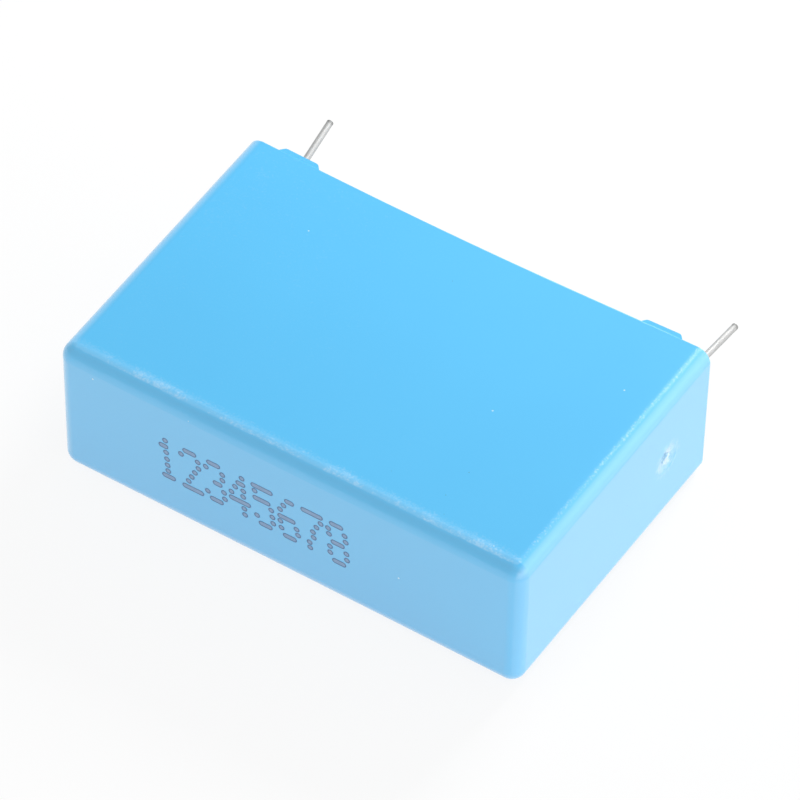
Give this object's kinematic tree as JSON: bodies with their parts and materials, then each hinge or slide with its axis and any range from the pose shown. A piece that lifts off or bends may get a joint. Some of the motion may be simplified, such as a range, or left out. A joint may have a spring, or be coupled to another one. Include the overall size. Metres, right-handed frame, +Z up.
{
  "type": "box film capacitor",
  "caption": "Potted film capacitor in a moulded blue plastic box, with low stand-off feet round its resin-filled open end and radial wire leads for a circuit board.",
  "frame": {"origin": "under the middle of the whole part, leads included, on the surface it lies on", "axes": "+X along the lead pitch, +Y from the closed end of the case to the lead tips, +Z up, across the wide walls"},
  "size_m": [0.026, 0.0224, 0.0083],
  "materials": {
    "case_plastic": "moulded flame-retardant polyester, fine satin grain",
    "potting_resin": "cast epoxy, smooth, drawn up at the walls and leads",
    "metallised_film": "tightly wound thin film with a vapour-deposited metal layer",
    "sprayed_zinc": "rough flame-sprayed zinc",
    "tinned_wire": "drawn copper wire with a bright tin coat"
  },
  "bodies": {
    "root": {"case": "case_plastic", "resin_fill": "potting_resin", "film_winding": "metallised_film", "end_spray_left": "sprayed_zinc", "end_spray_right": "sprayed_zinc", "lead_left": "tinned_wire", "lead_right": "tinned_wire"}
  },
  "joints": []
}
